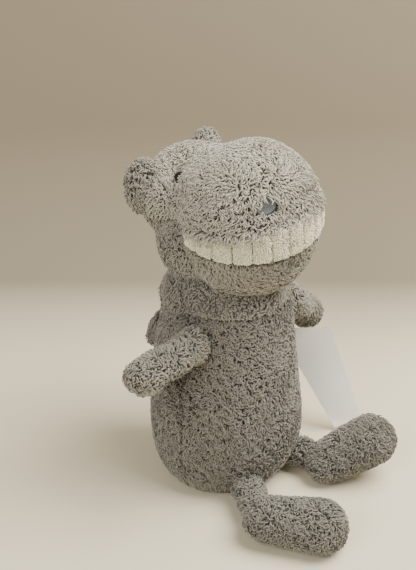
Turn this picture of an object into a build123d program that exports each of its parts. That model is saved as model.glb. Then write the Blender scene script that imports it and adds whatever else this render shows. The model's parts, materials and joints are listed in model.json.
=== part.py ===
from build123d import *
from math import asin, atan2, cos, degrees, hypot, radians, sin, sqrt, tan
import os

os.makedirs("parts", exist_ok=True)

# A sitting soft toy: a pear-shaped body on a flat weighted seat, a big-muzzled head
# with a band of padded teeth, two short arms, two thin legs with paddle feet, a fin
# on the back and a sewn-in care label.
# Millimetres, +Z up, origin at the centre of the seat, face towards -Y, so the toy's
# own right side is at -X.

# ---------- cloth and clearances ----------
SKIN = 2.5            # pile fabric: knitted backing and the packed roots of the pile
FELT = 1.5            # felt behind the teeth
GAP = 0.3             # between a skin and the stuffing inside it
JOINT_GAP = 1.0       # between two bodies that turn on each other

# ---------- torso ----------
SEAT_RADIUS = 41.0    # flat face that the toy sits on
SEAT_MARGIN = 1.0     # the seat's cloth stops this far inside the flat face's rim
SEAT_FLARE = (50, 4)  # radius and height that the outline heads for as it leaves the seat
HIP_HEIGHT = 24.0
BELLY_RADIUS = 59.5   # widest ring
BELLY_HEIGHT = 54.0
RIB_HEIGHT = 86.0
CHEST_RADIUS = 50.5
CHEST_HEIGHT = 120.0
NECK_RADIUS = 49.0    # domed top that the head sits on
NECK_HEIGHT = 152.0   # centre of that dome, which is the neck's pivot
SIDE_SEAM_Y = -9.0    # front panel meets the back panels here
NECK_HOLE = 14.0      # opening in the dome that the neck's stuffing passes through

# ---------- weight in the seat ----------
POUCH_RADIUS = 38.0
POUCH_HALF_HEIGHT = 14.0
POUCH_HEIGHT = 21.0
POUCH_CLOTH = 1.2

# ---------- neck ----------
NECK_BALL = 20.0
NECK_STEM = 12.0
STEM_TOP = 58.0       # above the pivot
NECK_NOD = 12         # degrees each way that the head leaves room for

# ---------- head, in its own frame: origin between muzzle and cranium ----------
HEAD_HEIGHT = 228.0
HEAD_ROLL = -7        # degrees about Y: the head leans to the toy's right
MUZZLE_AT = (0, -26, 10)
MUZZLE_SIZE = (52, 47, 52)
CHIN_AT = (0, -25, -1)
CHIN_SIZE = (49, 44, 49)
CRANIUM_AT = (0, 34, 11)
CRANIUM_SIZE = (41, 34, 34)
NAPE_AT = (0, 12, -16)
NAPE_SIZE = (45, 42, 46)
COWL = 2.4            # skin of the neck band that hugs the torso's dome
COWL_RIM = 164.0      # height of the band's lower edge
FACE_SEAM_Y = 33.0    # seam between face and crown, at the head's own mid-height
FACE_SEAM_LEAN = 36   # degrees that the seam leans back

# ---------- mouth ----------
GRIN_TOP = 21.0       # upper edge of the teeth at the front
GRIN_TOP_TILT = -7.3  # degrees that the upper edge climbs from the front to the corners
GRIN_BOTTOM = -2.5    # lower edge of the teeth at the front
GRIN_BOTTOM_TILT = 5  # degrees that the lower edge climbs from the front to the corners
TEETH_PER_SIDE = 7
TOOTH_PITCH = 15.6    # degrees round the muzzle
TOOTH_PROUD = 2.6     # beyond the muzzle's skin
TOOTH_DEPTH = 18.0    # of the padded block before its back is shaped to the felt
TOOTH_ROUND = 2.4
MOUTH_CORNER_Y = -6.0
GUM_SINK = 1.0        # the felt lies this far behind the muzzle's skin
HAIRLINE = 0.2        # between pieces that are sewn together

# ---------- eyes and nostrils ----------
EYE_AT = (23.5, 21.3, 35.9)
EYE_RADIUS = 4.6
EYE_FLATTEN = 0.75    # height of the bead's dome as a share of its radius
EYE_STEM = 1.6
EYE_STEM_LENGTH = 11.0
WASHER_RADIUS = 6.5
WASHER_THICKNESS = 1.4
WASHER_SINK = 1.0     # behind the skin, so that its rim clears the curved cloth
NOSTRIL_AT = (21, 37)
NOSTRIL_SIZE = (7.5, 5.0)
NOSTRIL_THICKNESS = 1.0
NOSTRIL_DEPTH = 8.0   # reach of the cutter that trims the patch, in and out

# ---------- ears ----------
EAR_AT = (32, 51, 23)
EAR_SIZE = (14, 7.5, 19)
EAR_TURN = 18         # degrees that each ear faces outward
EAR_GAP = 2.6         # room for the ear to fold forward and back

# ---------- arms: root centre, hand centre, root radius, hand radius ----------
RIGHT_ARM = ((-58.8, -18.9, 145), (-100, -13.5, 136), 9.5, 11.2)
LEFT_ARM = ((58.8, -18.9, 141), (96, -4, 110), 9.5, 11.6)

# ---------- legs and feet ----------
RIGHT_HIP = (-30.9, -57.8, 15)
RIGHT_ANKLE = (-47.5, -84.5, 14)
LEFT_HIP = (38.2, -53.2, 16)
LEFT_ANKLE = (40.5, -71.5, 13)
HIP_BALL = 10.0
ANKLE_BALL = 8.0
HEEL_BALL = 15.5
HEEL_X = -22.0        # along the foot, from its middle
TOE_BALL = 18.2
TOE_X = 19.5
RIGHT_FOOT_AT = (-36, -109.5, 18.2)
RIGHT_FOOT_AIM = -57  # degrees: the way the toes point, from +X
RIGHT_FOOT_PITCH = 0
LEFT_FOOT_AT = (56.5, -89, 26.5)
LEFT_FOOT_AIM = -40
LEFT_FOOT_PITCH = 30  # toes up
ANKLE_FLEX = 22       # degrees each way that the foot leaves room for

# ---------- back fin: its outline seen from the side, as depth and height ----------
FIN_TOP_ROOT = (46, 130)
FIN_BACK = (74, 114)
FIN_TIP = (88, 84)
FIN_UNDERSIDE = (70, 82)
FIN_LOW_ROOT = (50, 70)
FIN_THICKNESS = 11.0
FIN_ROUND = 4.5

# ---------- care label ----------
LABEL_ROOT = (59.4, -3, 0)
LABEL_AIM = -38       # degrees from +X: the way the label points, seen from above
LABEL_THICKNESS = 0.8
LABEL_WIDTH = 33
LABEL_TOP = 107
LABEL_REACH = 47      # out from the seam to the fold
LABEL_FAR_CORNER = (80, 10)    # out from the seam and up from the floor
LABEL_NEAR_CORNER = (48.5, 2)

NECK_PIVOT = (0, 0, NECK_HEIGHT)
HEAD_PLACE = Pos(0, 0, HEAD_HEIGHT) * Rot(0, HEAD_ROLL, 0)


def save(name, solid):
    solid.label = name
    export_step(solid, f"parts/{name}.step")


def grown(size, inset):
    """Half-axes of an ellipsoid whose surface lies inset behind the first one."""
    return tuple(half_axis - inset for half_axis in size)


def ellipsoid(size):
    return scale(Sphere(1), by=size)


def side_of(solid, point, normal):
    """The part of a solid on the side of a plane that the normal points to."""
    return split(solid, bisect_by=Plane(origin=point, z_dir=normal), keep=Keep.TOP)


def opposite(direction):
    return tuple(-value for value in direction)


def two_panels(skin, point, normal):
    return side_of(skin, point, normal), side_of(skin, point, opposite(normal))


def tapered_capsule(start, end, start_radius, end_radius):
    """Two balls and the cone that touches both."""
    axis = Vector(end) - Vector(start)
    length = axis.length
    slope = (start_radius - end_radius) / length
    rise = sqrt(1 - slope**2)
    start_mid = radians(degrees(asin(slope)) - 90) / 2
    end_mid = radians(degrees(asin(slope)) + 90) / 2
    start_edge = (start_radius * rise, 0, start_radius * slope)
    end_edge = (end_radius * rise, 0, length + end_radius * slope)
    outline = [
        ThreePointArc(
            (0, 0, -start_radius),
            (start_radius * cos(start_mid), 0, start_radius * sin(start_mid)),
            start_edge,
        ),
        Line(start_edge, end_edge),
        ThreePointArc(
            end_edge,
            (end_radius * cos(end_mid), 0, length + end_radius * sin(end_mid)),
            (0, 0, length + end_radius),
        ),
        Line((0, 0, length + end_radius), (0, 0, -start_radius)),
    ]
    body = revolve(Face(Wire(outline)), Axis.Z, 360)
    return Plane(origin=start, z_dir=axis).location * body


# ---------- torso ----------


def torso_body(inset):
    neck = NECK_RADIUS - inset
    top = NECK_HEIGHT + neck
    belly = BELLY_RADIUS - inset
    flare_radius, flare_height = SEAT_FLARE
    hip = Bezier(
        (SEAT_RADIUS - inset, 0, inset),
        (flare_radius - inset, 0, flare_height + inset),
        (belly, 0, HIP_HEIGHT),
        (belly, 0, BELLY_HEIGHT),
    )
    side = Bezier(
        (belly, 0, BELLY_HEIGHT),
        (belly, 0, RIB_HEIGHT),
        (CHEST_RADIUS - inset, 0, CHEST_HEIGHT),
        (neck, 0, NECK_HEIGHT),
    )
    dome = ThreePointArc(
        (neck, 0, NECK_HEIGHT),
        (neck * cos(radians(45)), 0, NECK_HEIGHT + neck * sin(radians(45))),
        (0, 0, top),
    )
    spine = Line((0, 0, top), (0, 0, inset))
    base = Line((0, 0, inset), (SEAT_RADIUS - inset, 0, inset))
    return revolve(Face(Wire([hip, side, dome, spine, base])), Axis.Z, 360)


def neck_room(ball, stem, top):
    """Ball on the neck's pivot with a stem that rises from it."""
    stem_solid = Pos(0, 0, NECK_HEIGHT + top / 2) * Cylinder(stem, top)
    return Pos(*NECK_PIVOT) * Sphere(ball) + stem_solid


def make_torso_skin():
    seat = Pos(0, 0, SKIN / 2) * Cylinder(SEAT_RADIUS - SEAT_MARGIN, SKIN)
    skin = torso_body(0) - torso_body(SKIN)
    skin -= seat
    skin -= neck_room(NECK_BALL, NECK_HOLE, NECK_RADIUS + SKIN)
    front, back = two_panels(skin, (0, SIDE_SEAM_Y, 0), (0, -1, 0))
    back_left, back_right = two_panels(back, (0, 0, 0), (1, 0, 0))
    save("seat_panel", seat)
    save("torso_front_panel", front)
    save("torso_back_left_panel", back_left)
    save("torso_back_right_panel", back_right)


def pouch_body(inset):
    size = (POUCH_RADIUS, POUCH_RADIUS, POUCH_HALF_HEIGHT)
    return Pos(0, 0, POUCH_HEIGHT) * ellipsoid(grown(size, inset))


def make_torso_filling():
    stuffing = torso_body(SKIN + GAP) - pouch_body(-GAP)
    stuffing -= neck_room(NECK_BALL + JOINT_GAP, NECK_STEM + JOINT_GAP, NECK_RADIUS)
    pouch = pouch_body(0) - pouch_body(POUCH_CLOTH)
    save("torso_stuffing", stuffing)
    save("bean_pouch", pouch)
    save("bean_filling", pouch_body(POUCH_CLOTH + GAP))
    save("neck_stuffing", neck_room(NECK_BALL, NECK_STEM, STEM_TOP))


def make_fin():
    """A fin on the spine whose tip sweeps down towards the seat."""
    corners = (FIN_TOP_ROOT, FIN_BACK, FIN_TIP, FIN_UNDERSIDE, FIN_LOW_ROOT)
    top_root, back, tip, underside, low_root = ((0, *corner) for corner in corners)
    outline = [
        ThreePointArc(top_root, back, tip),
        ThreePointArc(tip, underside, low_root),
        Line(low_root, top_root),
    ]
    fin = extrude(Face(Wire(outline)), FIN_THICKNESS / 2, dir=(1, 0, 0), both=True)
    outer_edges = fin.edges().filter_by(Plane.YZ).filter_by(GeomType.CIRCLE)
    fin = fillet(outer_edges, FIN_ROUND)
    save("dorsal_fin", fin - torso_body(-GAP))


# ---------- head ----------


def head_lobes(inset):
    """Muzzle, chin, cranium and nape, each an ellipsoid, in the head's own frame."""
    lobes = (
        (MUZZLE_AT, MUZZLE_SIZE),
        (CHIN_AT, CHIN_SIZE),
        (CRANIUM_AT, CRANIUM_SIZE),
        (NAPE_AT, NAPE_SIZE),
    )
    solids = [Pos(*at) * ellipsoid(grown(size, inset)) for at, size in lobes]
    return solids[0] + solids[1:]


def head_body(inset):
    """The whole head at its place, with the band that hugs the torso's dome."""
    band = Pos(*NECK_PIVOT) * Sphere(NECK_RADIUS + JOINT_GAP + COWL - inset)
    band = side_of(band, (0, 0, COWL_RIM), (0, 0, 1))
    return HEAD_PLACE * head_lobes(inset) + band


def neck_pocket(clearance):
    return Pos(*NECK_PIVOT) * Sphere(NECK_RADIUS + clearance)


def head_point(x, y, z):
    return (HEAD_PLACE * Pos(x, y, z)).position


def head_direction(x, y, z):
    return head_point(x, y, z) - head_point(0, 0, 0)


def grin_edge(height, tilt, y):
    """Height of a tilted edge of the mouth at a depth y, in the head's own frame."""
    front = MUZZLE_AT[1] - MUZZLE_SIZE[1]
    return height + (y - front) * tan(radians(tilt))


def grin_top(y):
    return grin_edge(GRIN_TOP, GRIN_TOP_TILT, y)


def grin_bottom(y):
    return grin_edge(GRIN_BOTTOM, GRIN_BOTTOM_TILT, y)


def above_edge(solid, height, tilt):
    """The parts of a solid above and below an edge that has this height at y = 0."""
    normal = head_direction(0, -sin(radians(tilt)), cos(radians(tilt)))
    return two_panels(solid, head_point(0, 0, height), normal)


def above_grin(solid, lift):
    return above_edge(solid, grin_top(0) + lift, GRIN_TOP_TILT)


def above_chin(solid, lift):
    return above_edge(solid, grin_bottom(0) + lift, GRIN_BOTTOM_TILT)


def mouth_side(solid, lead):
    point = head_point(0, MOUTH_CORNER_Y - lead, 0)
    return two_panels(solid, point, head_direction(0, -1, 0))


def face_side(solid):
    lean = radians(FACE_SEAM_LEAN)
    normal = head_direction(0, -cos(lean), sin(lean))
    return two_panels(solid, head_point(0, FACE_SEAM_Y, 0), normal)


def eye_plane(side):
    """Plane on the cranium's skin under an eye, its normal along the eye's stem."""
    x, y, z = ((at - c) / s**2 for at, c, s in zip(EYE_AT, CRANIUM_AT, CRANIUM_SIZE))
    origin = head_point(side * EYE_AT[0], *EYE_AT[1:])
    return Plane(origin=origin, z_dir=head_direction(side * x, y, z))


def eye_stem(side, radius, length):
    return eye_plane(side).location * Pos(0, 0, -length / 2) * Cylinder(radius, length)


def make_eye(side, name):
    place = eye_plane(side).location
    dome = place * scale(Sphere(EYE_RADIUS), by=(1, 1, EYE_FLATTEN))
    dome = side_of(dome, place.position, eye_plane(side).z_dir)
    stem = eye_stem(side, EYE_STEM, EYE_STEM_LENGTH)
    washer_depth = SKIN + WASHER_SINK + WASHER_THICKNESS / 2
    washer = Cylinder(WASHER_RADIUS, WASHER_THICKNESS) - Cylinder(EYE_STEM + HAIRLINE, SKIN)
    save(f"{name}_eye", dome + stem)
    save(f"{name}_eye_washer", place * Pos(0, 0, -washer_depth) * washer)


def muzzle_slope(x, z):
    """Outward direction of the muzzle's front surface, and how far back from its tip it lies."""
    across = (x - MUZZLE_AT[0]) / MUZZLE_SIZE[0]
    rise = (z - MUZZLE_AT[2]) / MUZZLE_SIZE[2]
    forward = sqrt(1 - across**2 - rise**2)
    slope = (across / MUZZLE_SIZE[0], -forward / MUZZLE_SIZE[1], rise / MUZZLE_SIZE[2])
    return slope, MUZZLE_AT[1] - forward * MUZZLE_SIZE[1]


def nostril_prism(side):
    x, z = side * NOSTRIL_AT[0], NOSTRIL_AT[1]
    slope, y = muzzle_slope(x, z)
    patch_plane = Plane(
        origin=head_point(x, y, z),
        x_dir=head_direction(1, 0, 0),
        z_dir=head_direction(*slope),
    )
    return extrude(patch_plane * Ellipse(*NOSTRIL_SIZE), NOSTRIL_DEPTH, both=True)


def make_nostril(side, name):
    outer = HEAD_PLACE * head_lobes(-HAIRLINE - NOSTRIL_THICKNESS)
    patch = nostril_prism(side) & outer
    save(f"{name}_nostril", patch - HEAD_PLACE * head_lobes(-HAIRLINE))


def make_head_skin():
    skin = head_body(0) - head_body(SKIN)
    skin -= neck_pocket(JOINT_GAP)
    for side in (-1, 1):
        skin -= eye_stem(side, EYE_STEM + HAIRLINE, EYE_STEM_LENGTH)
    face, crown = face_side(skin)
    muzzle, lower_face = above_grin(face, 0)
    lips, jaw = above_chin(lower_face, 0)
    save("crown_panel", crown)
    save("muzzle_panel", muzzle)
    save("jaw_panel", jaw + mouth_side(lips, 0)[1])


def make_gum():
    gum = head_body(GUM_SINK) - head_body(GUM_SINK + FELT)
    gum = mouth_side(gum, HAIRLINE)[0]
    gum = above_grin(gum, -HAIRLINE)[1]
    save("gum_felt", above_chin(gum, HAIRLINE)[0])


def make_head_stuffing():
    stuffing = head_body(SKIN + GAP) - neck_pocket(JOINT_GAP + GAP)
    for angle in range(-NECK_NOD, NECK_NOD + 1, NECK_NOD // 2):
        tilt = Pos(*NECK_PIVOT) * Rot(angle, 0, 0) * Pos(0, 0, -NECK_HEIGHT)
        stuffing -= tilt * neck_room(NECK_BALL, NECK_STEM + JOINT_GAP, STEM_TOP + JOINT_GAP)
    washer_room = WASHER_RADIUS + GAP
    for side in (-1, 1):
        stuffing -= eye_stem(side, washer_room, SKIN + WASHER_SINK + WASHER_THICKNESS + GAP)
        stuffing -= eye_stem(side, EYE_STEM + GAP, EYE_STEM_LENGTH + GAP)
    save("head_stuffing", stuffing)


def tooth_block(angle):
    """One rounded pad standing on the muzzle at an angle from the front."""
    out_x, out_y = sin(radians(angle)), -cos(radians(angle))
    reach = 1 / hypot(out_x / MUZZLE_SIZE[0], out_y / MUZZLE_SIZE[1])
    y = MUZZLE_AT[1] + out_y * reach
    top, bottom = grin_top(y), grin_bottom(y)
    root = reach - GUM_SINK
    width = 2 * root * sin(radians(TOOTH_PITCH / 2)) - 2 * HAIRLINE
    pad = fillet(Box(TOOTH_DEPTH, width, top - bottom).edges(), TOOTH_ROUND)
    centre = reach + TOOTH_PROUD - TOOTH_DEPTH / 2
    at = (out_x * centre, MUZZLE_AT[1] + out_y * centre, (top + bottom) / 2)
    return HEAD_PLACE * Pos(*at) * Rot(0, 0, degrees(atan2(out_y, out_x))) * pad


def make_teeth():
    gum_face = head_body(GUM_SINK - HAIRLINE)
    for side, name in ((-1, "right"), (1, "left")):
        for number in range(TEETH_PER_SIDE):
            tooth = tooth_block(side * (number + 0.5) * TOOTH_PITCH) - gum_face
            tooth = above_grin(tooth, -HAIRLINE)[1]
            save(f"{name}_tooth_{number + 1}", above_chin(tooth, HAIRLINE)[0])


def make_ears():
    cranium = Pos(*CRANIUM_AT) * ellipsoid(grown(CRANIUM_SIZE, -EAR_GAP))
    lobe = Pos(*EAR_AT) * Rot(0, 0, EAR_TURN) * ellipsoid(EAR_SIZE)
    ear = lobe - cranium
    save("left_ear", HEAD_PLACE * ear)
    save("right_ear", HEAD_PLACE * mirror(ear, about=Plane.YZ))


# ---------- arms and legs ----------


def make_limb(name, limb, seam_normal, panel_names):
    start, end, start_radius, end_radius = limb
    skin = tapered_capsule(start, end, start_radius, end_radius)
    skin -= tapered_capsule(start, end, start_radius - SKIN, end_radius - SKIN)
    filling = SKIN + GAP
    panels = two_panels(skin, start, seam_normal)
    for panel, panel_name in zip(panels, panel_names):
        save(f"{name}_{panel_name}", panel)
    stuffing = tapered_capsule(start, end, start_radius - filling, end_radius - filling)
    save(f"{name}_stuffing", stuffing)


def across(start, end):
    """Level direction at right angles to a limb."""
    return ((Vector(*end) - Vector(*start)).cross(Vector(0, 0, 1))).normalized()


def ankle_room(hip, ankle):
    """Room for the lower leg while the foot flexes about the ankle."""
    toward_hip = Vector(hip) - Vector(ankle)
    length = toward_hip.length
    mouth = ANKLE_BALL + length * tan(radians(ANKLE_FLEX)) + 2 * JOINT_GAP
    funnel = Pos(0, 0, length / 2) * Cone(ANKLE_BALL + JOINT_GAP, mouth, length)
    ball = Sphere(ANKLE_BALL + JOINT_GAP + HAIRLINE)
    return Plane(origin=ankle, z_dir=toward_hip).location * (ball + funnel)


def foot_body(inset):
    heel, toe = HEEL_BALL - inset, TOE_BALL - inset
    return tapered_capsule((HEEL_X, 0, 0), (TOE_X, 0, 0), heel, toe)


def make_foot(name, at, aim, pitch, hip, ankle):
    place = Pos(*at) * Rot(0, 0, aim) * Rot(0, -pitch, 0)
    room = ankle_room(hip, ankle)
    skin = place * (foot_body(0) - foot_body(SKIN))
    stuffing = place * foot_body(SKIN + GAP)
    skin -= room
    stuffing -= room
    seam_normal = (place * Pos(0, 0, 1)).position - place.position
    upper, sole = two_panels(skin, at, tuple(seam_normal))
    save(f"{name}_foot_upper", upper)
    save(f"{name}_foot_sole", sole)
    save(f"{name}_foot_stuffing", stuffing)


def make_label():
    """A strip of thin cloth that leaves the side seam level, folds over and hangs to the floor."""
    outline = Polyline(
        (0, 0, LABEL_TOP),
        (LABEL_REACH, 0, LABEL_TOP),
        (LABEL_FAR_CORNER[0], 0, LABEL_FAR_CORNER[1]),
        (LABEL_NEAR_CORNER[0], 0, LABEL_NEAR_CORNER[1]),
        (LABEL_REACH - LABEL_WIDTH, 0, LABEL_TOP - LABEL_WIDTH),
        (0, 0, LABEL_TOP - LABEL_WIDTH),
        close=True,
    )
    strip = extrude(make_face(outline), LABEL_THICKNESS / 2, dir=(0, 1, 0), both=True)
    save("care_label", Pos(*LABEL_ROOT) * Rot(0, 0, LABEL_AIM) * strip)


make_torso_skin()
make_torso_filling()
make_fin()
make_head_skin()
make_gum()
make_head_stuffing()
make_teeth()
make_ears()
for side, name in ((-1, "right"), (1, "left")):
    make_eye(side, name)
    make_nostril(side, name)
for name, arm in (("right", RIGHT_ARM), ("left", LEFT_ARM)):
    make_limb(f"{name}_arm", arm, across(*arm[:2]), ("front_panel", "back_panel"))
for name, hip, ankle in (("right", RIGHT_HIP, RIGHT_ANKLE), ("left", LEFT_HIP, LEFT_ANKLE)):
    leg = (hip, ankle, HIP_BALL, ANKLE_BALL)
    make_limb(f"{name}_leg", leg, (0, 0, 1), ("top_panel", "under_panel"))
make_foot("right", RIGHT_FOOT_AT, RIGHT_FOOT_AIM, RIGHT_FOOT_PITCH, RIGHT_HIP, RIGHT_ANKLE)
make_foot("left", LEFT_FOOT_AT, LEFT_FOOT_AIM, LEFT_FOOT_PITCH, LEFT_HIP, LEFT_ANKLE)
make_label()
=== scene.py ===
import json
import math

import bmesh
import bpy
import numpy as np
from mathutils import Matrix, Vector
from mathutils.bvhtree import BVHTree


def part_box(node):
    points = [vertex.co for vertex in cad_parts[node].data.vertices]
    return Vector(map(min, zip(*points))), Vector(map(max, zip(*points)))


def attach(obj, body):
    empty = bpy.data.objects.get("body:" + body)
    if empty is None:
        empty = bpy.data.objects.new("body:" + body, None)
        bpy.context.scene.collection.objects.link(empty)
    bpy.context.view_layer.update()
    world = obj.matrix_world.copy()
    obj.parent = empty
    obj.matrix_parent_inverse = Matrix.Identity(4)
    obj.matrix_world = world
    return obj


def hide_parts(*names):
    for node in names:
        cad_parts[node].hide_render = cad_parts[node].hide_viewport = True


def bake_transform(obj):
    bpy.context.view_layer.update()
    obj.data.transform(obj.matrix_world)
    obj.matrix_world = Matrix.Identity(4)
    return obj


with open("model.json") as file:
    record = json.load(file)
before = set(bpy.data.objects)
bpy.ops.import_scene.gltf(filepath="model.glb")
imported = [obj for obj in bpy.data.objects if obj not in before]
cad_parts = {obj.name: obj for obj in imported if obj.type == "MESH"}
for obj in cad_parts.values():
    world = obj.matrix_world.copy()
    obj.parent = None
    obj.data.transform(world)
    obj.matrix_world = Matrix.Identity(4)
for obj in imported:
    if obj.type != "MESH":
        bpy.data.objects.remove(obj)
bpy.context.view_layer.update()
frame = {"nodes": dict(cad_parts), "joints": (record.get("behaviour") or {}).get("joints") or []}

MM = 0.001
SIDES = ("right", "left")
NODES = frame["nodes"]
JOINTS = {joint["name"]: joint for joint in frame["joints"]}

# ---------- camera ----------
VIEW_AZIMUTH = math.radians(-45)
VIEW_ELEVATION = math.radians(28)
VIEW_DISTANCE = 0.780
VIEW_TARGET = Vector((-0.010, 0.010, 0.169))
LENS = 63.16

# ---------- pile ----------
TUFT_SPACING = 1.45 * MM
TUFT_LENGTH = 4.6 * MM
TUFT_RADIUS = 0.76 * MM
TUFT_SIDES = 3
TUFT_RISE = (0.0, 0.40, 0.70, 0.86, 0.84)   # rings' height over the cloth, as a share of length
TUFT_DRIFT = (0.0, 0.06, 0.22, 0.48, 0.74)  # how far they lean over
TUFT_TAPER = (0.95, 1.0, 0.96, 0.80, 0.46)
TUFT_RINGS = len(TUFT_RISE)
TUFT_FACES = (TUFT_RINGS - 1) * TUFT_SIDES * 2 + 2
TUFT_CURL = 0.32                      # the tip's swing sideways, as a share of length
CURL_TURN = math.pi * 1.3             # phase of the curl from root to tip
CURL_SHIFT = 9000                     # phase of the curl from tuft to tuft, for each metre
TUFT_SHADES = 5                       # tones that a tuft's root can have
TONES = TUFT_SHADES + TUFT_RINGS - 2  # each band above the root is one tone paler: painted shade deep in the pile
LENGTH_RANGE = (0.75, 1.2)            # shares of the usual length and thickness
THICKNESS_RANGE = (0.8, 1.2)
TRIES_PER_TUFT = 5
LIE_WAVES = ((30 * MM, 1.0), (9 * MM, 0.9))  # wavelength and weight of the pile's lie
LIE_STRAY = 0.6                       # how far single tufts stray from that lie
COMB = (0, 0, -0.5)                   # the pile hangs a little
SHADE_WAVE = 22 * MM
SHADE_GAIN = 0.8
SHADE_STRAY = 0.9
PIECE_FACES = 190_000                 # most triangles in one piece of pile
SEAM_WIDTH = 2.4 * MM                 # strip by a seam where the pile is trapped short
SEAM_SHORT = 0.30
SEAM_SHADE = 2.0                      # tones of painted shade on the trapped pile
LOWER_LIP = 3.0 * MM                  # bare strip under the teeth
FRINGE_HANG = 4                       # how strongly a fringe turns downward
FLOOR_GAP = 0.3 * MM
CRUSHED = 14 * MM                     # below this height the toy's own weight flattens the pile
CRUSHED_SHORT = 0.45
SOLE_HEIGHT = 1.5 * MM                # below this, cloth that faces the floor has no pile
SOLE_FACING = -0.8
PILE_ROOM = 1.2 * MM                  # the cloth lies this far in, to leave room for the pile

# ---------- mesh helpers ----------


def add_object(name, mesh):
    obj = bpy.data.objects.new(name, mesh)
    bpy.context.scene.collection.objects.link(obj)
    return obj


def vertex_array(mesh):
    co = np.empty(len(mesh.vertices) * 3, np.float64)
    mesh.vertices.foreach_get("co", co)
    return co.reshape(-1, 3)


def set_vertices(mesh, co):
    mesh.vertices.foreach_set("co", np.ascontiguousarray(co, np.float32).ravel())
    mesh.update()


def triangles(mesh):
    mesh.calc_loop_triangles()
    tris = np.empty(len(mesh.loop_triangles) * 3, np.int64)
    mesh.loop_triangles.foreach_get("vertices", tris)
    return tris.reshape(-1, 3)


def apply_modifiers(obj):
    graph = bpy.context.evaluated_depsgraph_get()
    mesh = bpy.data.meshes.new_from_object(obj.evaluated_get(graph))
    obj.modifiers.clear()
    old = obj.data
    obj.data = mesh
    bpy.data.meshes.remove(old)
    return obj


def merged(name, solids):
    """One object from (points, triangles) pairs that may overlap."""
    points, faces, offset = [], [], 0
    for co, tris in solids:
        points.append(co)
        faces.append(tris + offset)
        offset += len(co)
    mesh = bpy.data.meshes.new(name)
    mesh.from_pydata(np.concatenate(points).tolist(), [], np.concatenate(faces).tolist())
    return add_object(name, mesh)


def cad_solid(node):
    mesh = NODES[node].data
    return vertex_array(mesh), triangles(mesh)


def hull(points):
    bm = bmesh.new()
    for point in points:
        bm.verts.new(point)
    result = bmesh.ops.convex_hull(bm, input=bm.verts)
    loose = [e for e in result["geom_interior"] if isinstance(e, bmesh.types.BMVert)]
    bmesh.ops.delete(bm, geom=loose, context="VERTS")
    bmesh.ops.triangulate(bm, faces=bm.faces)
    bm.verts.ensure_lookup_table()
    bm.verts.index_update()
    co = np.array([v.co for v in bm.verts])
    tris = np.array([[v.index for v in f.verts] for f in bm.faces])
    bm.free()
    return co, tris


def ball(centre, radius, flatten=(1, 1, 1)):
    bm = bmesh.new()
    bmesh.ops.create_icosphere(bm, subdivisions=4, radius=1)
    co = np.array([v.co for v in bm.verts]) * radius * np.array(flatten) + np.array(centre)
    tris = np.array([[v.index for v in f.verts] for f in bm.faces])
    bm.free()
    return co, tris


def largest_island(mesh):
    """Drops closed pockets inside a remeshed body."""
    bm = bmesh.new()
    bm.from_mesh(mesh)
    seen, islands = set(), []
    for start in bm.verts:
        if start in seen:
            continue
        island, queue = [], [start]
        seen.add(start)
        while queue:
            vert = queue.pop()
            island.append(vert)
            for edge in vert.link_edges:
                other = edge.other_vert(vert)
                if other not in seen:
                    seen.add(other)
                    queue.append(other)
        islands.append(island)
    islands.sort(key=len)
    for island in islands[:-1]:
        bmesh.ops.delete(bm, geom=island, context="VERTS")
    bm.to_mesh(mesh)
    bm.free()


def soft_body(name, solids, voxel, smoothing):
    """Overlapping solids melted into one closed, evenly meshed cloth body."""
    obj = merged(name, solids)
    remesh = obj.modifiers.new("melt", "REMESH")
    remesh.mode = "VOXEL"
    remesh.voxel_size = voxel
    smooth = obj.modifiers.new("soften", "SMOOTH")
    smooth.factor = 0.5
    smooth.iterations = smoothing
    apply_modifiers(obj)
    largest_island(obj.data)
    obj.data.shade_smooth()
    return obj


class Waves:
    """A smooth, seeded vector field made of sine waves."""

    def __init__(self, seed, wavelength, count=10):
        rng = np.random.default_rng(seed)
        self.freq = rng.normal(size=(count, 3)) * 2 * math.pi / wavelength / math.sqrt(3)
        self.phase = rng.uniform(0, 2 * math.pi, count)
        self.push = rng.normal(size=(count, 3)) / math.sqrt(count)

    def at(self, points):
        return np.sin(points @ self.freq.T + self.phase) @ self.push


def vertex_normals(mesh):
    normals = np.empty(len(mesh.vertices) * 3, np.float32)
    mesh.vertex_normals.foreach_get("vector", normals)
    return normals.reshape(-1, 3).astype(np.float64)


def lumpy(obj, seed, wavelength, depth, floor=None, inset=0.0):
    """Stuffing never fills cloth evenly: slow swellings and hollows."""
    co = vertex_array(obj.data)
    lift = Waves(seed, wavelength).at(co)[:, :1] * depth - inset
    co += vertex_normals(obj.data) * lift
    if floor is not None:
        co[:, 2] = np.maximum(co[:, 2], floor)
    set_vertices(obj.data, co)
    return obj


def search_tree(shape):
    """A search tree over an object, or over a pair of points and triangles."""
    if isinstance(shape, bpy.types.Object):
        shape = vertex_array(shape.data), triangles(shape.data)
    co, tris = shape
    return BVHTree.FromPolygons(co.tolist(), tris.tolist())


RAY = (0.013, 0.021, 1.0)   # off the vertical, so that it meets no edge of an upright shape
RAY_STEP = 1e-6


def inside(bvh, point):
    """True where a ray upward leaves a closed shape an odd number of times."""
    direction = Vector(RAY).normalized()
    crossings, start = 0, Vector(point)
    while True:
        hit, _, _, _ = bvh.ray_cast(start, direction)
        if hit is None:
            return crossings % 2 == 1
        crossings += 1
        start = hit + direction * RAY_STEP


def signed_distance(points, shape):
    """Distance to a closed shape's surface, below zero inside it."""
    bvh = search_tree(shape)
    out = np.empty(len(points))
    for i, point in enumerate(points):
        near, normal, _, distance = bvh.find_nearest(Vector(point))
        behind = (Vector(point) - near).dot(normal) < 0
        out[i] = -distance if behind and inside(bvh, point) else distance
    return out


# ---------- pile ----------


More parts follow.
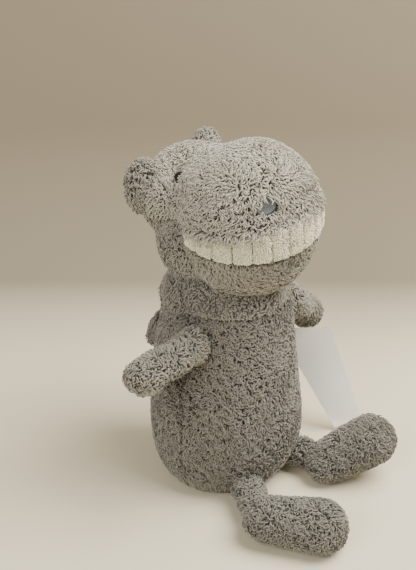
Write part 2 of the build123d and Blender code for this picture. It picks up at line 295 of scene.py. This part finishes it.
def scatter(obj, spacing, rng):
    """Evenly spread points on a mesh, with their smooth normals."""
    mesh = obj.data
    co, normals, tris = vertex_array(mesh), vertex_normals(mesh), triangles(mesh)
    a, b, c = co[tris[:, 0]], co[tris[:, 1]], co[tris[:, 2]]
    area = np.linalg.norm(np.cross(b - a, c - a), axis=1) / 2
    tries = int(area.sum() / spacing**2 * TRIES_PER_TUFT)
    pick = rng.choice(len(tris), tries, p=area / area.sum())
    u, v = rng.random(tries), rng.random(tries)
    fold = u + v > 1
    u[fold], v[fold] = 1 - u[fold], 1 - v[fold]
    w = np.stack([1 - u - v, u, v], 1)[:, :, None]
    points = (co[tris[pick]] * w).sum(1)
    directions = (normals[tris[pick]] * w).sum(1)
    directions /= np.linalg.norm(directions, axis=1)[:, None]
    cell = np.floor(points / spacing).astype(np.int64)
    keep = np.unique(cell, axis=0, return_index=True)[1]
    return points[keep], directions[keep]


def tuft_mesh(name, roots, normals, lean, length, radius, tone):
    """Curled, tapered, closed tufts: rings of TUFT_SIDES points joined by quads."""
    count = len(roots)
    side = np.cross(normals, lean)
    rings = np.empty((count, TUFT_RINGS, TUFT_SIDES, 3))
    for ring in range(TUFT_RINGS):
        share = ring / (TUFT_RINGS - 1)
        centre = roots + normals * (length * TUFT_RISE[ring])[:, None]
        centre += lean * (length * TUFT_DRIFT[ring])[:, None]
        curl = np.sin(share * CURL_TURN + roots[:, 0] * CURL_SHIFT) * TUFT_CURL * share
        centre += side * (length * curl)[:, None]
        along = normals * (1 - share) + lean * share
        across = np.cross(along, side)
        for corner in range(TUFT_SIDES):
            turn = 2 * math.pi * corner / TUFT_SIDES
            ray = side * math.cos(turn) + across * math.sin(turn)
            rings[:, ring, corner] = centre + ray * (radius * TUFT_TAPER[ring])[:, None]
    points = rings.reshape(-1, 3)
    points[:, 2] = np.maximum(points[:, 2], FLOOR_GAP)
    per_tuft = TUFT_RINGS * TUFT_SIDES
    quads = []
    for ring in range(TUFT_RINGS - 1):
        for corner in range(TUFT_SIDES):
            low = ring * TUFT_SIDES + corner
            after = ring * TUFT_SIDES + (corner + 1) % TUFT_SIDES
            quads.append((low, after, after + TUFT_SIDES, low + TUFT_SIDES))
    root_cap = tuple(reversed(range(TUFT_SIDES)))
    tip_cap = tuple(range(per_tuft - TUFT_SIDES, per_tuft))
    pattern = np.concatenate([np.ravel(quads), root_cap, tip_cap])
    sizes = np.array([4] * len(quads) + [TUFT_SIDES] * 2)
    loops = (np.arange(count)[:, None] * per_tuft + pattern[None]).ravel()
    totals = np.tile(sizes, count)
    mesh = bpy.data.meshes.new(name)
    mesh.vertices.add(len(points))
    mesh.vertices.foreach_set("co", points.astype(np.float32).ravel())
    mesh.loops.add(len(loops))
    mesh.loops.foreach_set("vertex_index", loops.astype(np.int32))
    mesh.polygons.add(len(totals))
    mesh.polygons.foreach_set("loop_start", (np.cumsum(totals) - totals).astype(np.int32))
    # Painted shade: each band nearer the root takes a darker tone.
    band = np.array([*np.repeat(np.arange(TUFT_RINGS - 1), TUFT_SIDES), 0, TUFT_RINGS - 2])
    shade = np.clip(tone[:, None] + band[None], 0, TONES - 1)
    mesh.polygons.foreach_set("material_index", shade.ravel().astype(np.int32))
    mesh.update(calc_edges=True)
    mesh.shade_smooth()
    return add_object(name, mesh)


class Pile:
    """Tufts for one cloth body, thinned, shortened and parted as the toy's pieces need."""

    def __init__(self, skin, seed, spacing, length):
        self.rng = np.random.default_rng(seed)
        self.roots, self.normals = scatter(skin, spacing, self.rng)
        count = len(self.roots)
        height = self.roots[:, 2]
        self.length = length * self.rng.uniform(*LENGTH_RANGE, count)
        upright = CRUSHED_SHORT + (1 - CRUSHED_SHORT) * height / CRUSHED
        self.length *= np.clip(upright, CRUSHED_SHORT, 1)
        self.lean = self.lie(seed)
        shade = Waves(seed + 3, SHADE_WAVE).at(self.roots)[:, 0] * SHADE_GAIN
        shade += self.rng.normal(size=count) * SHADE_STRAY + TUFT_SHADES // 2
        self.tone = np.clip(np.round(shade), 0, TUFT_SHADES - 1).astype(int)
        self.panel = np.zeros(count, int)
        self.keep((height > SOLE_HEIGHT) | (self.normals[:, 2] > SOLE_FACING))

    def lie(self, seed):
        """Unit directions along the cloth that the tufts lean in."""
        flow = np.zeros(self.roots.shape)
        for step, (wavelength, weight) in enumerate(LIE_WAVES, start=1):
            flow += Waves(seed + step, wavelength).at(self.roots) * weight
        flow += self.rng.normal(size=flow.shape) * LIE_STRAY
        flow += np.array(COMB)
        return self.along_cloth(flow)

    def along_cloth(self, directions):
        directions = directions - self.normals * (directions * self.normals).sum(1)[:, None]
        return directions / np.linalg.norm(directions, axis=1)[:, None]

    def keep(self, mask):
        for part in ("roots", "normals", "length", "lean", "tone", "panel"):
            setattr(self, part, getattr(self, part)[mask])

    def clear_of(self, shape, gap):
        self.keep(signed_distance(self.roots, shape) > gap)

    def fringe(self, shape, reach, gain):
        """The pile above a shape is left long enough to hang over it."""
        distance = np.abs(signed_distance(self.roots, shape))
        near = np.clip(1 - distance / reach, 0, 1)
        near[(self.panel != 0) | (self.roots[:, 2] < shape[0][:, 2].mean())] = 0
        self.length *= 1 + gain * near
        hang = np.array([0, 0, 1]) * (near * FRINGE_HANG)[:, None]
        self.lean = self.along_cloth(self.lean - hang)

    def bare_under(self, shape, gap):
        """Keeps the lower lip's pile off the shape above it."""
        distance = np.abs(signed_distance(self.roots, shape))
        self.keep((self.panel == 0) | (distance > gap))

    def split_by(self, nodes):
        """Gives each tuft to its nearest panel, and traps the pile short beside a seam."""
        distance = np.stack([np.abs(signed_distance(self.roots, cad_solid(n))) for n in nodes])
        self.panel = distance.argmin(0)
        self.trap(np.sort(distance, axis=0)[1], SEAM_WIDTH)

    def trap(self, distance, width):
        """Pile caught in a seam or under a hem is short, and painted darker for the shade it lies in.
        """
        free = np.clip(distance / width, 0, 1)
        self.length *= SEAM_SHORT + (1 - SEAM_SHORT) * free
        self.tone = np.clip(np.round(self.tone - SEAM_SHADE * (1 - free)), 0, TONES - 1).astype(int)

    def hem(self, shape, width):
        self.trap(np.abs(signed_distance(self.roots, shape)), width)

    def build(self, name, materials, radius, panel=None):
        """The pile as one piece, or as several stacked ones where it has too many faces."""
        chosen = np.arange(len(self.roots)) if panel is None else np.flatnonzero(self.panel == panel)
        chosen = chosen[np.argsort(self.roots[chosen, 2])]
        stacks = math.ceil(len(chosen) * TUFT_FACES / PIECE_FACES)
        pieces = []
        for number, pick in enumerate(np.array_split(chosen, stacks)):
            thick = radius * self.rng.uniform(*THICKNESS_RANGE, len(pick))
            label = name if stacks == 1 else f"{name}_{number + 1}"
            piece = tuft_mesh(label, self.roots[pick], self.normals[pick], self.lean[pick],
                              self.length[pick], thick, self.tone[pick])
            for material in materials:
                piece.data.materials.append(material)
            pieces.append(piece)
        return pieces


# ---------- materials ----------


def shader(name, roughness, base=(0.8, 0.8, 0.8)):
    material = bpy.data.materials.new(name)
    material.use_nodes = True
    bsdf = material.node_tree.nodes["Principled BSDF"]
    bsdf.inputs["Roughness"].default_value = roughness
    bsdf.inputs["Base Color"].default_value = (*base, 1)
    return material, material.node_tree, bsdf


def noise(graph, scale, detail=4, roughness=0.6):
    coordinates = graph.nodes.new("ShaderNodeTexCoord")
    node = graph.nodes.new("ShaderNodeTexNoise")
    node.inputs["Scale"].default_value = scale
    node.inputs["Detail"].default_value = detail
    node.inputs["Roughness"].default_value = roughness
    graph.links.new(coordinates.outputs["Object"], node.inputs["Vector"])
    return node


def colour_between(graph, factor, low, high, start=0.35, end=0.65):
    ramp = graph.nodes.new("ShaderNodeValToRGB")
    ramp.color_ramp.elements[0].position = start
    ramp.color_ramp.elements[1].position = end
    ramp.color_ramp.elements[0].color = (*low, 1)
    ramp.color_ramp.elements[1].color = (*high, 1)
    graph.links.new(factor, ramp.inputs["Fac"])
    return ramp.outputs["Color"]


def bump(graph, bsdf, height, distance):
    node = graph.nodes.new("ShaderNodeBump")
    node.inputs["Distance"].default_value = distance
    graph.links.new(height, node.inputs["Height"])
    graph.links.new(node.outputs["Normal"], bsdf.inputs["Normal"])


def cloth(name, low, high, scale, depth, roughness=0.95, sheen=0.3):
    """A matt material with a raised grain, mottled between two tones."""
    material, graph, bsdf = shader(name, roughness)
    bsdf.inputs["Sheen Weight"].default_value = sheen
    bsdf.inputs["Sheen Roughness"].default_value = 0.6
    grain = noise(graph, scale).outputs["Fac"]
    graph.links.new(colour_between(graph, grain, low, high), bsdf.inputs["Base Color"])
    bump(graph, bsdf, grain, depth)
    return material


def pile_tones(name, base, spread):
    """Tones of one yarn, from dark to pale; they carry the tufts' random tone and painted shade,
    deepest at the roots and least at the pale tips.
    """
    tones = []
    for step in range(TONES):
        gain = 1 + spread * (step / (TONES - 1) - 0.5) * 2
        material, _, bsdf = shader(f"{name}_{step}", 0.92, tuple(c * gain for c in base))
        bsdf.inputs["Sheen Weight"].default_value = 0.35
        bsdf.inputs["Sheen Roughness"].default_value = 0.5
        tones.append(material)
    return tones


# One yarn in three painted brightnesses: painted light on the muzzle, painted shade on the torso, fin,
# legs and feet, and the middle one on the crown, jaw, arms and ears.
LIT_MUZZLE_YARN = pile_tones("lit_muzzle_yarn", (0.405, 0.376, 0.306), 0.16)
MID_LIT_YARN = pile_tones("mid_lit_yarn", (0.285, 0.264, 0.217), 0.16)
SHADED_BODY_YARN = pile_tones("body_yarn", (0.200, 0.186, 0.154), 0.12)
TOOTH_YARN = pile_tones("tooth_yarn", (0.95, 0.90, 0.69), 0.05)
BACKING = cloth("knit_backing", (0.125, 0.115, 0.095), (0.165, 0.152, 0.125), 700, 0.3 * MM)
VELOUR = cloth("tooth_velour", (0.52, 0.48, 0.36), (0.64, 0.59, 0.45), 1400, 0.25 * MM, 0.9, 0.5)
NOSTRIL_CLOTH = cloth("nostril_cloth", (0.09, 0.105, 0.118), (0.17, 0.185, 0.195), 1300, 0.3 * MM)
# The gum's felt colour, deepened with painted shade for the gap under the teeth.
SHADED_FELT = cloth("gum_felt", (0.09, 0.082, 0.068), (0.14, 0.128, 0.105), 900, 0.2 * MM)
SATIN = cloth("label_satin", (0.90, 0.885, 0.85), (0.94, 0.93, 0.90), 500, 0.05 * MM, 0.55, 0.2)
FIBRE = cloth("polyester_fibre", (0.75, 0.75, 0.73), (0.92, 0.92, 0.90), 260, 0.8 * MM)
POUCH = cloth("pouch_cloth", (0.60, 0.60, 0.56), (0.72, 0.72, 0.68), 1500, 0.1 * MM)
BEANS = cloth("pellets", (0.70, 0.70, 0.66), (0.85, 0.85, 0.82), 400, 0.8 * MM, 0.5, 0)
WASHER = cloth("washer_plastic", (0.78, 0.78, 0.76), (0.84, 0.84, 0.82), 60, 0.02 * MM, 0.45, 0)


def bead_black():
    """Glossy black plastic with faint scuffs."""
    material, graph, bsdf = shader("bead_black", 0.12, (0.006, 0.006, 0.007))
    scuffs = noise(graph, 900, detail=6, roughness=0.7)
    rough = graph.nodes.new("ShaderNodeMapRange")
    rough.inputs["To Min"].default_value = 0.06
    rough.inputs["To Max"].default_value = 0.20
    graph.links.new(scuffs.outputs["Fac"], rough.inputs["Value"])
    graph.links.new(rough.outputs["Result"], bsdf.inputs["Roughness"])
    bsdf.inputs["Coat Weight"].default_value = 0.6
    return material


EYE = bead_black()


def dress(obj, slot, *materials):
    obj.data.materials.clear()
    for material in materials:
        obj.data.materials.append(material)
    return obj


def repaint(node, material):
    for slot in NODES[node].material_slots:
        slot.link = "OBJECT"
        slot.material = material


# ---------- torso ----------

TORSO_PANELS = ("torso_front_panel", "torso_back_left_panel", "torso_back_right_panel")
TORSO_FILLING = ("seat_panel", "torso_stuffing", "bean_pouch", "bean_filling", "neck_stuffing")


def make_torso():
    solids = [cad_solid(node) for node in (*TORSO_PANELS, *TORSO_FILLING)]
    skin = soft_body("torso_skin", solids, voxel=2 * MM, smoothing=6)
    lumpy(skin, seed=11, wavelength=45 * MM, depth=0.9 * MM, floor=FLOOR_GAP, inset=PILE_ROOM)
    dress(skin, "body_pile", BACKING)
    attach(skin, "torso")
    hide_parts(*TORSO_PANELS, "seat_panel")
    return skin


# ---------- head ----------

HEAD_PANELS = ("muzzle_panel", "jaw_panel", "crown_panel")
HEAD_FILLING = ("gum_felt", "head_stuffing")
BROW_SHARE = 0.84
EYE_WIDTH = 9 * MM
EYE_PROUD = 5.5 * MM    # of the bead outside the cloth
EYE_HOLLOW = 14 * MM    # radius of the dent round it
EYE_DENT_STEEP = 2.5


def brow(solids):
    """The cloth pulled straight from muzzle to crown, a little under both."""
    points = np.concatenate([co for co, _ in solids])
    low, high = points[:, 2].min(), points[:, 2].max()
    co, tris = hull(points[points[:, 2] > (low + high) / 2])
    middle = co.mean(0)
    return middle + (co - middle) * BROW_SHARE, tris


def sink_round(skin, bead):
    """The bead's thread pulls the cloth in, so that most of the bead stands clear of it."""
    co = vertex_array(skin.data)
    own, _ = cad_solid(bead)
    outward = own.mean(0) - co.mean(0)
    outward /= np.linalg.norm(outward)
    tip = (own @ outward).max()
    centre = own[(own @ outward) > tip - EYE_WIDTH].mean(0)
    near = np.linalg.norm(co - centre, axis=1)
    pull = np.clip(1 - near / EYE_HOLLOW, 0, 1)
    depth = np.maximum(co @ outward - (tip - EYE_PROUD), 0)
    co -= outward * (depth * np.clip(pull * EYE_DENT_STEEP, 0, 1))[:, None]
    set_vertices(skin.data, co)


def make_head():
    solids = [cad_solid(node) for node in (*HEAD_PANELS, *HEAD_FILLING)]
    skin = soft_body("head_skin", [*solids, brow(solids)], voxel=1.6 * MM, smoothing=10)
    lumpy(skin, seed=23, wavelength=40 * MM, depth=0.8 * MM, inset=PILE_ROOM)
    for side in SIDES:
        sink_round(skin, f"{side}_eye")
    dress(skin, "head_pile", BACKING)
    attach(skin, "head")
    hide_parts(*HEAD_PANELS)
    return skin


# ---------- teeth ----------

TOOTH_SWELL = 0.15 * MM
TOOTH_SQUARE = 3       # the higher, the closer to its edges a pad stays full


def make_tooth(node):
    """A puffed pad: the sewn block melted round and swollen in the middle."""
    tooth = soft_body(node + "_pad", [cad_solid(node)], voxel=0.6 * MM, smoothing=2)
    points = vertex_array(tooth.data)
    middle = points.mean(0)
    reach = np.abs(points - middle).max(0)
    swell = 1 - np.clip(np.abs(points[:, 2] - middle[2]) / reach[2], 0, 1) ** TOOTH_SQUARE
    points += vertex_normals(tooth.data) * (swell * TOOTH_SWELL)[:, None]
    set_vertices(tooth.data, points)
    lumpy(tooth, seed=40, wavelength=6 * MM, depth=0.15 * MM)
    dress(tooth, "tooth_velour", VELOUR)
    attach(tooth, "head")
    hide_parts(node)
    return tooth


# ---------- ears, fin, limbs ----------

EAR_ROOT = 12 * MM             # how far an ear's base reaches into the head
PLUG_SINK = 5 * MM             # how far in from its pivot a limb's root is swollen
ARM_PLUG = (9.5 * MM, 1.45)    # radius, and height as a share of it
LEG_PLUG = (10.5 * MM, 1.0)
HEEL_PLUG = 11 * MM
ARM_PANELS = ("front_panel", "back_panel")
LEG_PANELS = ("top_panel", "under_panel")
LIMB_SEEDS = {"right": 63, "left": 56}
LIMB_BEND = (4 * MM, 8 * MM)   # stretch inside and outside the pivot that bends
EAR_BEND = (3 * MM, 3 * MM)


def toward(points, target, step):
    direction = np.array(target) - points
    return points + direction / np.linalg.norm(direction, axis=1)[:, None] * step


def make_ear(side):
    node = f"{side}_ear"
    co, _ = cad_solid(node)
    low, high = (np.array(v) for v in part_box("head_stuffing"))
    middle = (low + high) / 2
    rooted = hull(np.concatenate([co, toward(co, middle, EAR_ROOT)]))
    ear = soft_body(node + "_skin", [rooted], voxel=1.3 * MM, smoothing=6)
    lumpy(ear, seed=31, wavelength=20 * MM, depth=0.5 * MM)
    dress(ear, "head_pile", BACKING)
    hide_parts(node)
    return ear


def make_fin():
    fin = soft_body("dorsal_fin_skin", [cad_solid("dorsal_fin")], voxel=1.3 * MM, smoothing=5)
    dress(fin, "body_pile", BACKING)
    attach(fin, "torso")
    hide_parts("dorsal_fin")
    return fin


def rest_pivot(joint):
    return np.array(JOINTS[joint]["pos_m"])


def root_plug(pivot, radius, height):
    """Swells a limb's root into the torso, up and down the seam it is sewn in."""
    inward = -pivot * np.array([1, 1, 0])
    inward /= np.linalg.norm(inward)
    return ball(pivot + inward * PLUG_SINK, radius, (1, 1, height))


def make_limb(side, kind, panels, joint, plug):
    name = f"{side}_{kind}"
    nodes = [f"{name}_{panel}" for panel in panels]
    solids = [cad_solid(node) for node in (*nodes, f"{name}_stuffing")]
    solids.append(root_plug(rest_pivot(f"{side}_{joint}"), *plug))
    limb = soft_body(name + "_skin", solids, voxel=1.4 * MM, smoothing=6)
    lumpy(limb, LIMB_SEEDS[side], wavelength=25 * MM, depth=0.5 * MM, floor=FLOOR_GAP, inset=PILE_ROOM)
    dress(limb, "body_pile", BACKING)
    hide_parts(*nodes)
    return limb


def make_foot(side):
    nodes = (f"{side}_foot_upper", f"{side}_foot_sole")
    points = np.concatenate([cad_solid(node)[0] for node in nodes])
    heel = ball(rest_pivot(f"{side}_ankle"), HEEL_PLUG)
    foot = soft_body(f"{side}_foot_skin", [hull(points), heel], voxel=1.5 * MM, smoothing=10)
    lumpy(foot, seed=57, wavelength=30 * MM, depth=0.7 * MM, floor=FLOOR_GAP, inset=PILE_ROOM)
    dress(foot, "body_pile", BACKING)
    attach(foot, f"{side}_foot")
    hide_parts(*nodes)
    return foot


def bend(piece, joint, before, after):
    """Bakes a sewn root's place into its mesh; its joint's pivot and outward way are found, but
    nothing is bent.
    """
    pivot = rest_pivot(joint)
    outward = np.array([pivot[0], pivot[1], 0])
    outward /= np.linalg.norm(outward)
    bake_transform(piece)


torso = make_torso()
head = make_head()
teeth = [make_tooth(f"{side}_tooth_{number + 1}") for side in SIDES for number in range(7)]
fin = make_fin()
ears = {side: make_ear(side) for side in SIDES}
arms = {side: make_limb(side, "arm", ARM_PANELS, "shoulder", ARM_PLUG) for side in SIDES}
legs = {side: make_limb(side, "leg", LEG_PANELS, "hip", LEG_PLUG) for side in SIDES}
feet = {side: make_foot(side) for side in SIDES}

# ---------- pile on every skin ----------


TORSO_YARNS = (SHADED_BODY_YARN, SHADED_BODY_YARN, SHADED_BODY_YARN)
HEAD_YARNS = (LIT_MUZZLE_YARN, MID_LIT_YARN, MID_LIT_YARN)
GUM_CLEAR = 0.8 * MM         # bare strip round each piece that shows through the pile
TOOTH_CLEAR = 1.2 * MM
NOSTRIL_CLEAR = 1.9 * MM
EYE_CLEAR = 3.6 * MM
TOOTH_GROOVE = 1.6 * MM      # bare strip between a tooth and the next
TOOTH_PILE_SPACING = 1.05 * MM
TOOTH_PILE_LENGTH = 1.1 * MM
TOOTH_PILE_RADIUS = 0.42 * MM
NOSTRIL_FRINGE = (8 * MM, 1.2)
HEM_WIDTH = 7 * MM           # pile that lies flat where the head meets the neck, painted darker as shade
LIP_FRINGE = (6 * MM, 0.9)   # how far up from the teeth it starts, and how much longer it gets


def joined(pieces):
    """Several closed pieces as one set of points and triangles."""
    points, faces, offset = [], [], 0
    for piece in pieces:
        points.append(vertex_array(piece.data))
        faces.append(triangles(piece.data) + offset)
        offset += len(points[-1])
    return np.concatenate(points), np.concatenate(faces)


def grow(skin, seed, yarns, place, names, clear=(), panels=(), fringes=(), under=None, hem=None,
         spacing=TUFT_SPACING, length=TUFT_LENGTH, radius=TUFT_RADIUS):
    """Pile over a skin: one yarn for each name, and one name for each panel."""
    pile = Pile(skin, seed, spacing, length)
    for shape, gap in clear:
        pile.clear_of(shape, gap)
    if panels:
        pile.split_by(panels)
    for shape, reach, gain in fringes:
        pile.fringe(shape, reach, gain)
    if under:
        pile.bare_under(under, LOWER_LIP)
    if hem:
        pile.hem(hem, HEM_WIDTH)
    for index, (name, yarn) in enumerate(zip(names, yarns)):
        for piece in pile.build(name, yarn, radius, index if panels else None):
            place(piece)


def riding(body):
    return lambda piece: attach(piece, body)


def bending(joint, before, after):
    return lambda piece: bend(piece, joint, before, after)


def pile_names(panels):
    return [panel.replace("_panel", "_pile") for panel in panels]


def neighbours(tooth):
    """The two teeth whose middles are nearest to this one's."""
    middle = np.array(tooth.bound_box).mean(0)
    apart = {
        other: np.linalg.norm(np.array(other.bound_box).mean(0) - middle)
        for other in teeth if other != tooth
    }
    return sorted(apart, key=apart.get)[:2]


def grow_torso():
    limbs = [*arms.values(), *legs.values(), fin]
    grow(torso, 101, TORSO_YARNS, riding("torso"), pile_names(TORSO_PANELS),
         clear=[(shape, 0) for shape in (*limbs, head)], panels=TORSO_PANELS)


def grow_head():
    nostrils = [cad_solid(f"{side}_nostril") for side in SIDES]
    eyes = [cad_solid(f"{side}_eye") for side in SIDES]
    clear = [(ear, 0) for ear in ears.values()]
    clear += [(cad_solid("gum_felt"), GUM_CLEAR)]
    clear += [(tooth, TOOTH_CLEAR) for tooth in teeth]
    clear += [(nostril, NOSTRIL_CLEAR) for nostril in nostrils]
    clear += [(eye, EYE_CLEAR) for eye in eyes]
    clear += [(torso, 0)]
    fringes = [(joined(teeth), *LIP_FRINGE)]
    fringes += [(nostril, *NOSTRIL_FRINGE) for nostril in nostrils]
    grow(head, 201, HEAD_YARNS, riding("head"), pile_names(HEAD_PANELS),
         clear=clear, panels=HEAD_PANELS, fringes=fringes, under=joined(teeth), hem=torso)


def grow_tooth(tooth):
    clear = [(head, 0), *((other, TOOTH_GROOVE) for other in neighbours(tooth))]
    grow(tooth, 251, [TOOTH_YARN], riding("head"),
         [tooth.name.replace("_pad", "_pile")], clear=clear,
         spacing=TOOTH_PILE_SPACING, length=TOOTH_PILE_LENGTH, radius=TOOTH_PILE_RADIUS)


def grow_side(side, seed):
    """Pile on one side's limbs and ear, with the pieces at their roots baked in place, not bent."""
    arm, leg, foot, ear = arms[side], legs[side], feet[side], ears[side]
    shoulder, hip, fold = f"{side}_shoulder", f"{side}_hip", f"{side}_ear_fold"
    grow(arm, seed, [MID_LIT_YARN], bending(shoulder, *LIMB_BEND),
         [f"{side}_arm_pile"], clear=[(torso, 0)])
    grow(leg, seed + 2, [SHADED_BODY_YARN], bending(hip, *LIMB_BEND),
         [f"{side}_leg_pile"], clear=[(torso, 0), (foot, 0)])
    grow(foot, seed + 4, [SHADED_BODY_YARN], riding(f"{side}_foot"),
         [f"{side}_foot_pile"], clear=[(leg, 0)])
    grow(ear, seed + 6, [MID_LIT_YARN], bending(fold, *EAR_BEND),
         [f"{side}_ear_pile"], clear=[(head, 0)])
    bend(arm, shoulder, *LIMB_BEND)
    bend(leg, hip, *LIMB_BEND)
    bend(ear, fold, *EAR_BEND)


grow_torso()
grow_head()
for tooth in teeth:
    grow_tooth(tooth)
grow(fin, 301, [SHADED_BODY_YARN], riding("torso"), ["dorsal_fin_pile"], clear=[(torso, 0)])
for side, seed in (("right", 400), ("left", 410)):
    grow_side(side, seed)

# ---------- label ----------

LABEL_FLAT = (0.033, 0.118)
LABEL_STEPS = (60, 16)
LABEL_FOLD = 0.59          # where it turns down, as a share of its reach
LABEL_LIFT = 0.2           # of the free end's outer corner, as a share of its width
LABEL_SKEW = 1 / 3         # of the free end's inner corner, towards the front
LABEL_RIPPLE = 1.6 * MM
RIPPLE_ALONG = 9
RIPPLE_ACROSS = 2.5


def along(corners, share):
    """The point a given share of the way along a polyline."""
    corners = np.array(corners)
    spans = np.linalg.norm(np.diff(corners, axis=0), axis=1)
    reach = np.concatenate([[0], np.cumsum(spans)]) / spans.sum()
    return np.array([np.interp(share, reach, corners[:, axis]) for axis in range(3)])


def make_label():
    """A satin ribbon: out of the seam level, over a soft fold, down to the floor with a twist."""
    low, high = (np.array(corner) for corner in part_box("care_label"))
    seam = np.array([low[0], high[1], 0])
    way = np.array([high[0] - low[0], low[1] - high[1], 0])
    reach = np.linalg.norm(way)
    way /= reach
    width = LABEL_FLAT[0]
    fold = reach * LABEL_FOLD
    top, bottom = np.array([0, 0, high[2]]), np.array([0, 0, low[2]])
    drop = np.array([0, 0, width])
    far_end = seam + bottom + way * reach + drop * LABEL_LIFT
    near_end = seam + bottom + way * (reach - width) - np.array([0, width * LABEL_SKEW, 0])
    outer = [seam + top, seam + top + way * fold, far_end]
    inner = [seam + top - drop, seam + top - drop + way * (fold - width), near_end]
    across = np.cross(way, (0, 0, 1))
    rows, columns = LABEL_STEPS
    points = []
    for row in range(rows + 1):
        share = row / rows
        outside, inward = along(outer, share), along(inner, share)
        for column in range(columns + 1):
            side = column / columns
            ripple = math.sin(share * RIPPLE_ALONG + side * RIPPLE_ACROSS) * LABEL_RIPPLE * share
            points.append(outside + (inward - outside) * side + across * ripple)
    faces = []
    for row in range(rows):
        for column in range(columns):
            corner = row * (columns + 1) + column
            faces.append((corner, corner + 1, corner + columns + 2, corner + columns + 1))
    mesh = bpy.data.meshes.new("label_ribbon")
    mesh.from_pydata([tuple(p) for p in points], [], faces)
    label = add_object("label_ribbon", mesh)
    smooth = label.modifiers.new("drape", "SMOOTH")
    smooth.iterations = 12
    apply_modifiers(label)
    label.data.shade_smooth()
    dress(label, "label_satin", SATIN)
    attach(label, "label")
    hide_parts("care_label")
    return label


make_label()

# ---------- nostrils, eyes, inner pieces ----------

for side in SIDES:
    repaint(f"{side}_nostril", NOSTRIL_CLOTH)
    repaint(f"{side}_eye", EYE)
    repaint(f"{side}_eye_washer", WASHER)
    for part in ("arm", "leg", "foot"):
        repaint(f"{side}_{part}_stuffing", FIBRE)
for node in ("torso_stuffing", "neck_stuffing", "head_stuffing"):
    repaint(node, FIBRE)
repaint("gum_felt", SHADED_FELT)
repaint("bean_pouch", POUCH)
repaint("bean_filling", BEANS)

# ---------- floor, light, camera ----------

FLOOR_FRONT = -1.4
WALL_NEAR = 0.10   # from the toy back to where the floor starts to curve up
WALL_TOP = 1.2
SWEEP_RADIUS = 0.20
SWEEP_WIDTH = 2.0
SWEEP_STEPS = 32
FLOOR_COLOUR = (0.78, 0.70, 0.53)
# The backdrop's darker colour is painted shade.
SHADED_WALL_COLOUR = (0.265, 0.226, 0.16)
FADE_HEIGHT = 0.05   # over which the floor's colour deepens into the backdrop's painted shade
LIGHT_AIM = Vector((0, 0, 0.12))
SKY_COLOUR = (1.0, 0.965, 0.90)
SKY_STRENGTH = 0.28


def sweep_paper():
    """Pale on the floor, painted darker up the backdrop as shade, and clear when seen from behind."""
    material, graph, bsdf = shader("sweep_paper", 0.9)
    facing = graph.nodes.new("ShaderNodeNewGeometry")
    clear = graph.nodes.new("ShaderNodeBsdfTransparent")
    mix = graph.nodes.new("ShaderNodeMixShader")
    graph.links.new(facing.outputs["Backfacing"], mix.inputs["Fac"])
    graph.links.new(bsdf.outputs["BSDF"], mix.inputs[1])
    graph.links.new(clear.outputs["BSDF"], mix.inputs[2])
    graph.links.new(mix.outputs["Shader"], graph.nodes["Material Output"].inputs["Surface"])
    coordinates = graph.nodes.new("ShaderNodeTexCoord")
    split = graph.nodes.new("ShaderNodeSeparateXYZ")
    graph.links.new(coordinates.outputs["Object"], split.inputs["Vector"])
    height = split.outputs["Z"]
    colour = colour_between(graph, height, FLOOR_COLOUR, SHADED_WALL_COLOUR, 0.0, FADE_HEIGHT)
    graph.links.new(colour, bsdf.inputs["Base Color"])
    return material


def make_stage():
    """A pale floor that sweeps up into a backdrop behind the toy."""
    profile = [(FLOOR_FRONT, 0.0), (WALL_NEAR, 0.0)]
    for step in range(1, SWEEP_STEPS + 1):
        turn = math.pi / 2 * step / SWEEP_STEPS
        away = WALL_NEAR + SWEEP_RADIUS * math.sin(turn)
        profile.append((away, SWEEP_RADIUS * (1 - math.cos(turn))))
    profile.append((WALL_NEAR + SWEEP_RADIUS, WALL_TOP))
    back = Vector((-math.sin(VIEW_AZIMUTH), math.cos(VIEW_AZIMUTH), 0))
    right = Vector((back.y, -back.x, 0))
    points = []
    for away, height in profile:
        for sideways in (-SWEEP_WIDTH, SWEEP_WIDTH):
            points.append(tuple(back * away + right * sideways + Vector((0, 0, height))))
    faces = [(2 * i, 2 * i + 1, 2 * i + 3, 2 * i + 2) for i in range(len(profile) - 1)]
    mesh = bpy.data.meshes.new("studio_sweep")
    mesh.from_pydata(points, [], faces)
    mesh.shade_smooth()
    floor = add_object("studio_sweep", mesh)
    mesh.materials.append(sweep_paper())
    return back, right


def soft_light(name, position, size, power, colour):
    data = bpy.data.lights.new(name, "AREA")
    data.shape = "DISK"
    data.size = size
    data.energy = power
    data.color = colour
    light = bpy.data.objects.new(name, data)
    light.location = position
    light.rotation_euler = (LIGHT_AIM - position).to_track_quat("-Z", "Y").to_euler()
    bpy.context.scene.collection.objects.link(light)


def make_world():
    world = bpy.data.worlds.new("studio")
    world.use_nodes = True
    background = world.node_tree.nodes["Background"]
    background.inputs["Color"].default_value = (*SKY_COLOUR, 1)
    background.inputs["Strength"].default_value = SKY_STRENGTH
    bpy.context.scene.world = world


def make_camera():
    data = bpy.data.cameras.new("camera")
    data.lens = LENS
    camera = bpy.data.objects.new("camera", data)
    bpy.context.scene.collection.objects.link(camera)
    away = Vector((
        math.sin(VIEW_AZIMUTH) * math.cos(VIEW_ELEVATION),
        -math.cos(VIEW_AZIMUTH) * math.cos(VIEW_ELEVATION),
        math.sin(VIEW_ELEVATION),
    ))
    camera.location = VIEW_TARGET + away * VIEW_DISTANCE
    camera.rotation_euler = (-away).to_track_quat("-Z", "Y").to_euler()
    bpy.context.scene.camera = camera


back, right = make_stage()
key_place = right * 0.55 - back * 0.05 + Vector((0, 0, 1.05))
fill_place = right * -0.6 - back * 0.9 + Vector((0, 0, 0.85))
soft_light("key", key_place, size=1.0, power=31, colour=(1, 0.97, 0.90))
soft_light("fill", fill_place, size=0.8, power=10, colour=(1, 0.98, 0.93))
make_world()
make_camera()

bpy.context.view_layer.update()
